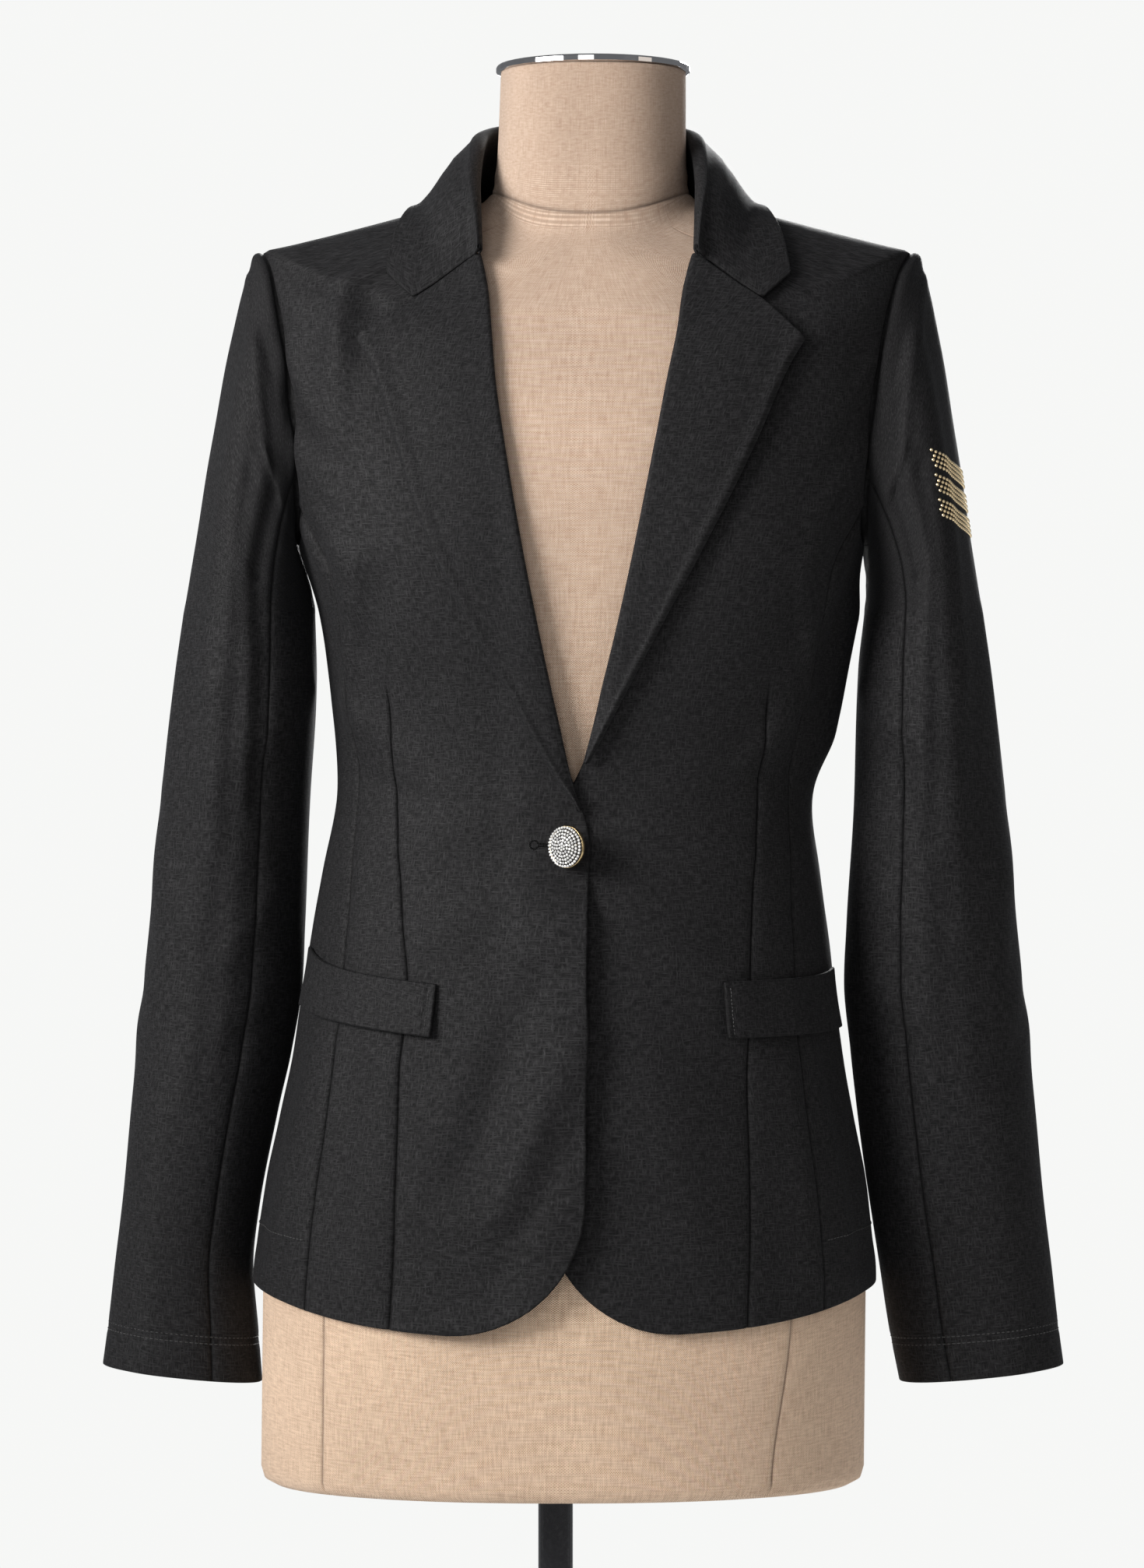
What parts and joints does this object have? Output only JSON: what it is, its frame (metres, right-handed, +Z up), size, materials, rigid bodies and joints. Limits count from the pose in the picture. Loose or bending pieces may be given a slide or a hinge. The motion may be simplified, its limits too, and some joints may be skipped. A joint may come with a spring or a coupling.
{
  "type": "blazer on a dress form",
  "caption": "Fitted single-button blazer with notched lapels, flap pockets and long sleeves, worn on a limbless linen dress form with a round stand.",
  "frame": {"origin": "middle of the underside of the stand's base, on the pole's axis", "axes": "+Z up along the pole; -Y is the blazer's front; -X is the wearer's right"},
  "size_m": [0.559, 0.35, 1.2665],
  "materials": {
    "suiting": "matte black stretch suiting with a fine weave and a soft sheen",
    "gilt": "polished pale gilt metal set with clear crystals",
    "linen": "natural beige linen, coarse plain weave",
    "chrome": "polished chrome",
    "black_lacquer": "glossy black lacquer on steel"
  },
  "bodies": {
    "root": {"front_right": "suiting", "side_right": "suiting", "back_right": "suiting", "top_sleeve_right": "suiting", "under_sleeve_right": "suiting", "lapel_right": "suiting", "front_left": "suiting", "side_left": "suiting", "back_left": "suiting", "top_sleeve_left": "suiting", "under_sleeve_left": "suiting", "lapel_left": "suiting", "collar": "suiting", "pocket_flap_right": "suiting", "pocket_flap_left": "suiting", "button": "gilt", "dress_form": "linen", "neck_cap": "chrome", "pole": "black_lacquer", "base": "black_lacquer"}
  },
  "joints": []
}
